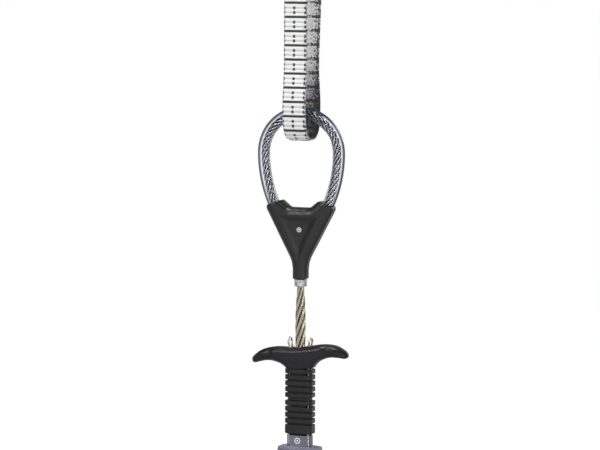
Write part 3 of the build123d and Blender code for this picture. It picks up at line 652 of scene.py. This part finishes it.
def strap_mesh(name, route, along, outward, closed, repeat, phase, materials, seed):
    """Flat woven strap along a route, with padded rows on its outer face."""
    rng = np.random.default_rng(seed)
    across = np.linspace(0, 1, STRAP_COLUMNS + 1)
    x = (across - 0.5) * WEBBING_WIDTH
    half_place = np.abs(2 * across - 1)
    padded = (half_place < STRAP_EDGE)[None, :]
    half_thick = WEBBING_THICKNESS / 2 * STRAP_SOLID_SHARE * np.clip(1 - half_place ** 7, 0, 1) ** 0.5
    place = ((along + phase) / repeat) % 1.0
    rows_up = row_height(place)[:, None]
    puff = PADDING_HEIGHT * rows_up * column_height(across)[None, :]
    edge_scallop = SCALLOP_DEPTH * (rows_up - 0.6) * (np.sign(x) * (np.abs(x) > 5))[None, :]
    outer_rise = half_thick[None, :] + puff * padded
    fuzz = rng.normal(0, FUZZ_HEIGHT, (len(along), len(across)))
    inner_rise = half_thick[None, :] + (0.05 + np.abs(fuzz)) * padded
    outer = route[:, None, :] + outward[:, None, :] * outer_rise[:, :, None]
    inner = route[:, None, :] - outward[:, None, :] * inner_rise[:, :, None]
    for layer in (outer, inner):
        layer[:, :, 0] += x[None, :] + edge_scallop
    ring = np.concatenate([outer, inner[:, -2:0:-1, :]], axis=1)
    ring_across = np.concatenate([across, across[-2:0:-1]])
    rows, columns = ring.shape[0], ring.shape[1]
    faces, face_materials = [], []
    for i in range(rows if closed else rows - 1):
        a, b = i * columns, ((i + 1) % rows) * columns
        for k in range(columns):
            j = (k + 1) % columns
            faces.append((a + k, b + k, b + j, a + j))
            face_materials.append(0 if k < STRAP_COLUMNS else 1)
    if not closed:
        for row, order in ((0, range(columns)), (rows - 1, reversed(range(columns)))):
            faces.append(tuple(row * columns + k for k in order))
            face_materials.append(0)
    piece = add_mesh(name, ring.reshape(-1, 3), faces, materials, face_materials)
    layer = piece.data.uv_layers.new(name="UVMap")
    uv = []
    for polygon in piece.data.polygons:
        rows_here = [v // columns for v in polygon.vertices]
        wraps = closed and max(rows_here) - min(rows_here) > 1
        for vertex, row in zip(polygon.vertices, rows_here):
            s = along[row] + (along[-1] + (along[1] - along[0]) if wraps and row == 0 else 0)
            uv += [(s + phase) / repeat, ring_across[vertex % columns]]
    layer.data.foreach_set("uv", uv)
    return piece


def outward_of(route, closed):
    """Direction away from the loop's inside, in the YZ plane."""
    if closed:
        step = np.roll(route, -1, axis=0) - np.roll(route, 1, axis=0)
    else:
        step = np.gradient(route, axis=0)
    step /= np.linalg.norm(step, axis=1)[:, None]
    return np.stack([np.zeros(len(step)), step[:, 2], -step[:, 1]], axis=1)


def make_sling(materials):
    """Closed loop of webbing; returns the piece, its length and its pattern repeat."""
    corners = [(0.0, y, z) for y, z, _ in SLING_CORNERS]
    route = rounded_route(corners, [radius for _, _, radius in SLING_CORNERS], closed=True)
    route, along = resampled(route, STRAP_STEP)
    length = along[-1]
    route, along = route[:-1], along[:-1]
    repeat = length / STRAP_REPEATS
    outward = outward_of(route, True)
    piece = strap_mesh("sling_webbing", route, along, outward, True, repeat, SLING_PHASE, materials,
                       SLING_SEED)
    return piece, length, repeat


def make_splice(materials, repeat):
    """Overlapped end of the webbing on the front leg."""
    y = SLING_FRONT_Y - WEBBING_THICKNESS - SPLICE_GAP
    route = np.array([(0.0, y, SPLICE_TOP_Z), (0.0, y, SPLICE_BOTTOM_Z)])
    route, along = resampled(route, STRAP_STEP)
    outward = np.tile((0.0, -1.0, 0.0), (len(route), 1))
    taper = np.minimum(1, 0.35 + np.minimum(along, along[-1] - along) / 0.9)
    piece = strap_mesh("sling_splice_webbing", route, along, outward, False, repeat, SPLICE_PHASE, materials,
                       SPLICE_SEED)
    points = read_points(piece).reshape(len(route), -1, 3)
    base = y + WEBBING_THICKNESS / 2
    points[:, :, 1] = base + (points[:, :, 1] - base) * taper[:, None]
    write_points(piece, points)
    return piece


def make_bartacks(material):
    """Zigzag stitch blocks on both faces of the overlap."""
    tubes = []
    front = SLING_FRONT_Y - 1.5 * WEBBING_THICKNESS - SPLICE_GAP - 0.12
    rear = SLING_FRONT_Y + WEBBING_THICKNESS / 2 + 0.02
    for y in (front, rear):
        for z in BARTACK_ZS:
            zigzag = [((n / BARTACK_TURNS - 0.5) * BARTACK_WIDTH, y, z - (-1) ** n * BARTACK_HALF_HEIGHT)
                      for n in range(BARTACK_TURNS + 1)]
            route, along = resampled(np.array(zigzag), 0.4)
            _, sides, others = frames_along(route)
            tubes.append((route, sides, others, np.full(len(route), BARTACK_THREAD_RADIUS), 6, None))
    return joined_tubes("sling_bartack_thread", tubes, [material])


# ---- thumb loop
def loop_side_points():
    """Middle line of the right half of the thumb loop, from the yoke up to the top."""
    lean = math.asin((LOOP_CENTRE_Z - LOOP_ENTRY_Z) / LOOP_SIDE_RADIUS)
    side_centre = LOOP_RADIUS - LOOP_SIDE_RADIUS

    def arc(centre_x, radius, angles):
        return [(centre_x + radius * math.cos(a), 0.0, LOOP_CENTRE_Z + radius * math.sin(a)) for a in angles]

    side = arc(side_centre, LOOP_SIDE_RADIUS, np.linspace(-lean, 0, 24))
    top = arc(0.0, LOOP_RADIUS, np.linspace(0, math.pi / 2, 40)[1:])
    return side, top, lean


def loop_route(end_z, inset=0.0):
    """Whole middle line of the loop; an inset moves it towards the loop's inside."""
    side, top, lean = loop_side_points()
    entry_x, _, entry_z = side[0]
    drop = entry_z - end_z
    right = [(entry_x - drop * math.tan(lean), 0.0, end_z)] + side + top
    whole = np.array(right + [(-x, y, z) for x, y, z in reversed(right[:-1])])
    route, along = resampled(whole, 0.55)
    tangents = np.gradient(route, axis=0)
    tangents /= np.linalg.norm(tangents, axis=1)[:, None]
    inward = np.stack([-tangents[:, 2], np.zeros(len(route)), tangents[:, 0]], axis=1)
    share = inset * smooth_step(LOOP_ENTRY_Z - 4, LOOP_ENTRY_Z + 12, route[:, 2])
    return route + inward * share[:, None], along


def make_loop_cable(material):
    """Steel rope of the thumb loop."""
    route, along = loop_route(LOOP_CABLE_END_Z, LOOP_CABLE_INSET)
    tubes = rope_tubes(route, along, LOOP_CABLE_RADIUS, LOOP_STRAND_PITCH, LOOP_WIRE_PITCH, 6)
    return joined_tubes("thumb_loop_rope", tubes, [material], (route, LOOP_CABLE_RADIUS))


def make_loop_tube(material):
    """Clear tube moulded round the cable, so it magnifies what it holds."""
    route, _ = loop_route(TUBE_END_Z)
    _, sides, others = frames_along(route)
    segments = 48
    tube = (route, sides, others, np.full(len(route), TUBE_OUTER_RADIUS), segments, None)
    piece = joined_tubes("thumb_loop_clear_tube", [tube], [material])
    # outward marks the side of the tube that takes the painted dark rim
    away = route - np.array([0.0, 0.0, LOOP_CENTRE_Z - 8.0])
    away /= np.linalg.norm(away, axis=1)[:, None]
    ring = read_points(piece).reshape(len(route), segments, 3) - route[:, None, :]
    outward = (ring * away[:, None, :]).sum(axis=2) / TUBE_OUTER_RADIUS
    marks = piece.data.attributes.new("outward", "FLOAT", "POINT")
    marks.data.foreach_set("value", (0.5 + 0.5 * outward).ravel())
    return piece


# ---- soft mouldings
def distance_to(points, line):
    """Distance from points to the nearest of many closely spaced line points, all in XZ."""
    nearest = np.full(len(points), 1e9)
    for x, z in line:
        nearest = np.minimum(nearest, (points[:, 0] - x) ** 2 + (points[:, 2] - z) ** 2)
    return np.sqrt(nearest)


def soft_plate(name, outline, half_depth, rounded_edge, rounding, material, smoothing):
    """Moulded plate whose front and rear roll over towards the rounded part of its outline."""
    count = len(outline)
    points = [(x, side * half_depth, z) for side in (-1, 1) for x, z in outline]
    faces = [tuple(range(count)), tuple(reversed(range(count, 2 * count)))]
    faces += [((k + 1) % count, k, k + count, (k + 1) % count + count) for k in range(count)]
    piece = add_mesh(name, points, faces, [material])
    remesh = piece.modifiers.new("remesh", "REMESH")
    remesh.mode = "VOXEL"
    remesh.voxel_size = MOULDING_VOXEL * MM
    evaluated(piece)
    points = read_points(piece)
    share = np.clip(distance_to(points, rounded_edge) / rounding, 0, 1)
    points[:, 1] *= EDGE_SHARE + (1 - EDGE_SHARE) * np.sqrt(1 - (1 - share) ** 2)
    write_points(piece, points)
    smooth = piece.modifiers.new("smooth", "SMOOTH")
    smooth.factor = 0.5
    smooth.iterations = smoothing
    evaluated(piece)
    piece.data.polygons.foreach_set("use_smooth", [True] * len(piece.data.polygons))
    return piece


def make_yoke(material):
    """Moulded yoke with horns for the tube, a waisted neck and a sunken triangle on each face."""
    right = [(x, 0.0, z) for x, z, _ in YOKE_CORNERS]
    left = [(-x, y, z) for x, y, z in reversed(right)]
    radii = [radius for _, _, radius in YOKE_CORNERS]
    route = rounded_route(right + left, radii + radii[::-1], closed=True)
    route, _ = resampled(route, 0.3)
    outline = route[:-1][:, (0, 2)]
    horn_top = (np.abs(outline[:, 0]) > YOKE_HORN_X) & (outline[:, 1] > YOKE_HORN_Z)
    bottom = outline[:, 1] < YOKE_FOOT_Z
    edge = outline[~(horn_top | bottom)]
    piece = soft_plate("yoke_moulding", outline, YOKE_HALF_DEPTH, edge, YOKE_ROUNDING, material,
                       YOKE_SMOOTHING)
    points = read_points(piece)
    x, y, z = points.T
    neck = smooth_step(YOKE_NECK_START_Z, YOKE_NECK_END_Z, z)
    y = y * (1 + (YOKE_NECK_HALF_DEPTH / YOKE_HALF_DEPTH - 1) * neck)
    drop = RECESS_TOP_Z - RECESS_APEX_Z
    slope = math.hypot(RECESS_HALF_WIDTH, drop)
    from_side = ((z - RECESS_APEX_Z) * RECESS_HALF_WIDTH - np.abs(x) * drop) / slope
    from_top = RECESS_TOP_Z - z
    inside = -np.log(np.exp(-CREASE * from_side) + np.exp(-CREASE * from_top)) / CREASE
    bevel = np.clip(inside / RECESS_BEVEL, 0, 1)
    sink = RECESS_DEPTH * (0.7 * bevel + 0.3 * smooth_step(0, 1, bevel))
    y = y - np.sign(y) * sink * smooth_step(1.5, 3.0, np.abs(y))
    seam = SEAM_DEPTH * np.exp(-(y / SEAM_HALF_WIDTH) ** 2)
    middle_x = np.sign(x) * smooth_step(0.0, 1.0, np.abs(x))
    points = np.stack([x - middle_x * seam, y, z], axis=1)
    write_points(piece, points)
    return piece


def curve_through(points, steps):
    """Smooth line through points in XZ."""
    points = np.array(points, dtype=float)
    padded = np.concatenate([[2 * points[0] - points[1]], points, [2 * points[-1] - points[-2]]])
    line = []
    for a, b, c, d in zip(padded[:-3], padded[1:-2], padded[2:-1], padded[3:]):
        for t in np.linspace(0, 1, steps, endpoint=False):
            line.append(0.5 * (2 * b + (c - a) * t + (2 * a - 5 * b + 4 * c - d) * t ** 2
                               + (3 * b - a - 3 * c + d) * t ** 3))
    return np.array(line + [points[-1]])


def make_trigger(material):
    """Finger bar with two drooping wings."""
    right = curve_through(TRIGGER_TOP_LINE + TRIGGER_TIP_LINE + TRIGGER_LOWER_LINE, 14)
    left = right[::-1].copy()
    left[:, 0] *= -1
    outline = np.concatenate([right, left[:-1]])
    edge = outline[outline[:, 1] > TRIGGER_FOOT_Z]
    piece = soft_plate("trigger_moulding", outline, TRIGGER_HALF_DEPTH, edge, TRIGGER_ROUNDING, material,
                       TRIGGER_SMOOTHING)
    points = read_points(piece)
    x, y, z = points.T
    past = np.clip((np.abs(x) - WING_TIP_X) / WING_TIP_REACH, 0, 1)
    narrow = WING_DEPTH_SHARE + (1 - WING_DEPTH_SHARE) * smooth_step(15.0, 12.0, np.abs(x))
    y = y * narrow * np.sqrt(1 - 0.9 * past ** 2)
    from_hollow = np.abs(x) - WING_HOLLOW_X
    hollow = WING_HOLLOW_DEPTH * np.exp(-(from_hollow / 3.2) ** 2) * smooth_step(1.6, 3.0, np.abs(y))
    y = y - np.sign(y) * hollow * np.exp(-((z - WING_HOLLOW_Z + 0.12 * from_hollow) / 1.1) ** 2)
    turn = math.radians(TRIGGER_TILT)
    rise = z - TRIGGER_PIVOT_Z
    turned_x = x * math.cos(turn) - rise * math.sin(turn)
    turned_z = TRIGGER_PIVOT_Z + x * math.sin(turn) + rise * math.cos(turn)
    write_points(piece, np.stack([turned_x, y, turned_z], axis=1))
    return piece


# ---- stem and thin cables
def make_stem_rope(material):
    """Bare stem cable, squeezed in the ferrule and opening out below it."""
    route = np.array([(0.0, 0.0, STEM_BOTTOM_Z), (0.0, 0.0, STEM_TOP_Z)])
    route, along = resampled(route, 0.5)
    flare = smooth_step(STEM_FLARE_END_Z, STEM_FLARE_START_Z + 3.0, route[:, 2])
    radii = STEM_RADIUS + STEM_SWELL + (STEM_NARROW_RADIUS - STEM_RADIUS) * flare
    tubes = rope_tubes(route, along, radii, STEM_STRAND_PITCH, STEM_WIRE_PITCH, 8)
    return joined_tubes("stem_rope", tubes, [material], (route, radii))


def make_trigger_cable(name, side, material):
    """Steel loop over the trigger with its two long legs."""
    x, y = side * TRIGGER_CABLE_X, TRIGGER_CABLE_Y
    top_z = TRIGGER_CABLE_TOP_Z - TRIGGER_CABLE_RADIUS
    top_x = x + side * TRIGGER_CABLE_LEAN
    bend_z = TRIGGER_TOP_Z + 0.6
    near_side = [
        (x, -y, TRIGGER_CABLE_BOTTOM_Z), (x, -y, bend_z),
        (top_x, -TRIGGER_CABLE_BULGE, bend_z + 1.7), (top_x, -TRIGGER_CABLE_BULGE, top_z),
    ]
    corners = near_side + [(px, -py, pz) for px, py, pz in reversed(near_side)]
    radii = (0, 1.2, 0.9, TRIGGER_CABLE_BULGE - 0.05)
    route = rounded_route(corners, radii + radii[::-1])
    route, along = resampled(route, 0.3)
    tubes = strand_tubes(route, along, TRIGGER_CABLE_RADIUS, TRIGGER_CABLE_PITCH, 6)
    return joined_tubes(name, tubes, [material])


def lobe_pin_place(index):
    """Centre of a lobe's pull pin, read from the frame, in millimetres."""
    low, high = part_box(f"pull_pin_{index}")
    return [(a + b) / 2 / MM for a, b in zip(low, high)]


def make_lobe_wire(index, material):
    """Thin wire from the crotch to a lobe's pull pin."""
    pin_x, pin_y, pin_z = lobe_pin_place(index)
    side = 1 if pin_x > 0 else -1
    toward = 1 if pin_y > 0 else -1
    corners = [
        (side * TRIGGER_CABLE_X, toward * TRIGGER_CABLE_Y, CROTCH_Z + 1.2),
        (side * LOBE_GAP_X, toward * (TRIGGER_CABLE_Y + 0.2), CROTCH_Z - 1.0),
        (pin_x, toward * 3.6, CROTCH_Z - 7.5),
        (pin_x, pin_y, pin_z + LOBE_WIRE_END_RISE),
    ]
    route = rounded_route(corners, (0, 2.0, 4.0, 0))
    route, along = resampled(route, 0.2)
    tubes = strand_tubes(route, along, WIRE_RADIUS, LOBE_WIRE_PITCH, 5)
    return joined_tubes(f"lobe_pull_wire_{index}", tubes, [material])


# ---- marks
def circle_points(centre, radius, segments):
    """Points round a circle that faces the front."""
    angles = [2 * math.pi * k / segments for k in range(segments)]
    return [(centre[0] + radius * math.cos(a), centre[1], centre[2] + radius * math.sin(a)) for a in angles]


def make_ring_mark(name, centre, radius, width, depth, material):
    """Thin painted ring with a dot, facing the front."""
    layers = (centre, (centre[0], centre[1] + depth, centre[2]))
    points, faces = [], []
    for layer in layers:
        for loop_radius in (radius, radius - width):
            points += circle_points(layer, loop_radius, MARK_SEGMENTS)
    outer_front, inner_front, outer_back, inner_back = (n * MARK_SEGMENTS for n in range(4))
    for k in range(MARK_SEGMENTS):
        j = (k + 1) % MARK_SEGMENTS
        faces.append((outer_front + k, outer_front + j, inner_front + j, inner_front + k))
        faces.append((outer_back + j, outer_back + k, inner_back + k, inner_back + j))
        faces.append((outer_front + j, outer_front + k, outer_back + k, outer_back + j))
        faces.append((inner_front + k, inner_front + j, inner_back + j, inner_back + k))
    front = len(points)
    back = front + DOT_SEGMENTS
    for layer in layers:
        points += circle_points(layer, radius * DOT_SHARE, DOT_SEGMENTS)
    faces.append(tuple(front + k for k in range(DOT_SEGMENTS)))
    faces.append(tuple(back + k for k in reversed(range(DOT_SEGMENTS))))
    for k in range(DOT_SEGMENTS):
        j = (k + 1) % DOT_SEGMENTS
        faces.append((front + j, front + k, back + k, back + j))
    return add_mesh(name, points, faces, [material])


# ---- stage
def side_shaded(graph, vector, colour):
    """Colour dimmed to the left and right of the camera's line, for contrast in metal and gloss."""
    x, y, _ = graph.split(vector)
    flat = graph.add("ShaderNodeCombineXYZ", {"X": x, "Y": y}).outputs["Vector"]
    unit = graph.add("ShaderNodeVectorMath", {0: flat}, operation="NORMALIZE").outputs["Vector"]
    angle = math.radians(CAMERA_AZIMUTH)
    line = (math.sin(angle), -math.cos(angle), 0.0)
    along = graph.add("ShaderNodeVectorMath", {0: unit, 1: line}, operation="DOT_PRODUCT").outputs["Value"]
    shade = graph.grey_ramp(graph.math("ABSOLUTE", along), SIDE_SHADES)
    return graph.mix(1.0, colour, shade, "MULTIPLY")


def pale_to_camera(graph, colour):
    """Even pale colour where the camera looks at it, the given colour in reflections and light."""
    seen = graph.add("ShaderNodeLightPath").outputs["Is Camera Ray"]
    return graph.mix(seen, colour, (*WHITE, 1.0))


def make_floor():
    """Wide pale floor, darker round the object in its reflections."""
    material, graph, shader = new_material("studio_floor")
    place = graph.add("ShaderNodeNewGeometry").outputs["Position"]
    reach = graph.add("ShaderNodeVectorMath", {0: place}, operation="LENGTH").outputs["Value"]
    near = graph.grey_ramp(graph.math("DIVIDE", reach, FLOOR_SHADE_REACH), FLOOR_SHADES)
    graph.feed(shader, {
        "Base Color": (0.1, 0.1, 0.1, 1),
        "Roughness": 1.0,
        "Specular IOR Level": 0.0,
        "Emission Strength": 0.97,
        "Emission Color": pale_to_camera(graph, side_shaded(graph, place, near)),
    })
    edge, z = FLOOR_HALF_WIDTH / MM, FLOOR_Z / MM
    corners = [(-edge, -edge, z), (edge, -edge, z), (edge, edge, z), (-edge, edge, z)]
    add_mesh("studio_floor", corners, [(0, 1, 2, 3)], [material])


def make_world():
    """Soft studio round the object, darker overhead."""
    world = bpy.data.worlds.new("studio")
    bpy.context.scene.world = world
    world.use_nodes = True
    graph = Graph(world.node_tree)
    direction = graph.add("ShaderNodeTexCoord").outputs["Generated"]
    height = graph.math("MULTIPLY", graph.math("ADD", graph.split(direction)["Z"], 1.0), 0.5)
    shaded = side_shaded(graph, direction, graph.grey_ramp(height, WORLD_SHADES))
    graph.feed(world.node_tree.nodes["Background"], {"Color": pale_to_camera(graph, shaded)})


def make_lights():
    for name, place, size, power in STUDIO_LIGHTS:
        light = bpy.data.lights.new(name, "AREA")
        light.size = size
        light.energy = power
        holder = bpy.data.objects.new(name, light)
        holder.location = place
        holder.rotation_euler = (Vector(LIGHT_TARGET) - Vector(place)).to_track_quat("-Z", "Y").to_euler()
        bpy.context.scene.collection.objects.link(holder)


def make_camera():
    data = bpy.data.cameras.new("camera")
    data.lens = CAMERA_LENS
    data.sensor_width = 36.0
    camera = bpy.data.objects.new("camera", data)
    azimuth, elevation = math.radians(CAMERA_AZIMUTH), math.radians(CAMERA_ELEVATION)
    direction = Vector((math.sin(azimuth) * math.cos(elevation), -math.cos(azimuth) * math.cos(elevation),
                        math.sin(elevation)))
    target = Vector(CAMERA_TARGET)
    camera.location = target + direction * CAMERA_DISTANCE
    camera.rotation_euler = (target - camera.location).to_track_quat("-Z", "Y").to_matrix().to_euler()
    camera.rotation_euler.rotate_axis("Z", math.radians(CAMERA_ROLL))
    bpy.context.scene.collection.objects.link(camera)
    bpy.context.scene.camera = camera


# ---- assembly
def place_piece(piece, body, slot, *nodes):
    """Piece on its body, in place of its CAD nodes."""
    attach(piece, body)
    if nodes:
        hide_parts(*nodes)


def place_blended(piece, node):
    """Piece baked into place with no parent, in place of its CAD node."""
    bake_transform(piece)
    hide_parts(node)


def dress_node(name, material):
    """Gives a CAD node its finished material."""
    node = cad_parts[name]
    node.data.materials.clear()
    node.data.materials.append(material)


def place_sling(thread):
    webbing = [webbing_material("webbing_outer", True), webbing_material("webbing_inner", False)]
    sling, length, repeat = make_sling(webbing)
    splice = make_splice(webbing, repeat)
    bartacks = make_bartacks(thread)
    place_piece(sling, "sling_body", "webbing", "sling")
    place_piece(splice, "sling_body", "webbing", "sling_splice")
    place_piece(bartacks, "sling_body", "thread", "sling_bartacks")


def place_lobe_wire(index, material):
    place_blended(make_lobe_wire(index, material),
                  f"lobe_wire_{index}")


def main():
    bpy.context.scene.view_settings.view_transform = "Standard"
    make_floor()
    make_world()
    make_lights()
    make_camera()
    finish = {name: speckled(name) for name in FINISHES}
    cable = finish["cable_steel"]

    place_sling(finish["black_thread"])
    loop = make_loop_cable(rope_material("loop_rope_steel"))
    place_piece(loop, "handle", "cable_steel", "thumb_loop_cable")
    place_piece(make_loop_tube(clear_tube_material()), "handle", "clear_tube", "thumb_loop_tube")
    place_blended(make_stem_rope(rope_material("stem_rope_steel")),
                  "stem_cable")
    place_piece(make_yoke(finish["yoke_moulding"]), "handle", "yoke_plastic", "yoke_front", "yoke_rear")
    place_piece(make_trigger(finish["trigger_moulding"]), "trigger", "trigger_plastic", "trigger_bar")
    for side, word in ((-1, "left"), (1, "right")):
        rope = make_trigger_cable(f"trigger_rope_{word}", side, cable)
        place_piece(rope, "trigger", "cable_steel", f"trigger_cable_{word}")
    for index in range(1, 5):
        place_lobe_wire(index, cable)
        dress_node(f"lobe_{index}", finish["lobe_anodised"])
        dress_node(f"pull_pin_{index}", finish["axle_steel"])
    for node, name in NODE_FINISHES.items():
        dress_node(node, finish[name])
    paint = finish["white_print"]
    place_piece(make_ring_mark("yoke_mark", *YOKE_MARK, paint), "handle", "yoke_plastic")
    place_piece(make_ring_mark("head_mark", *HEAD_MARK, paint), "head", "head_anodised")


main()
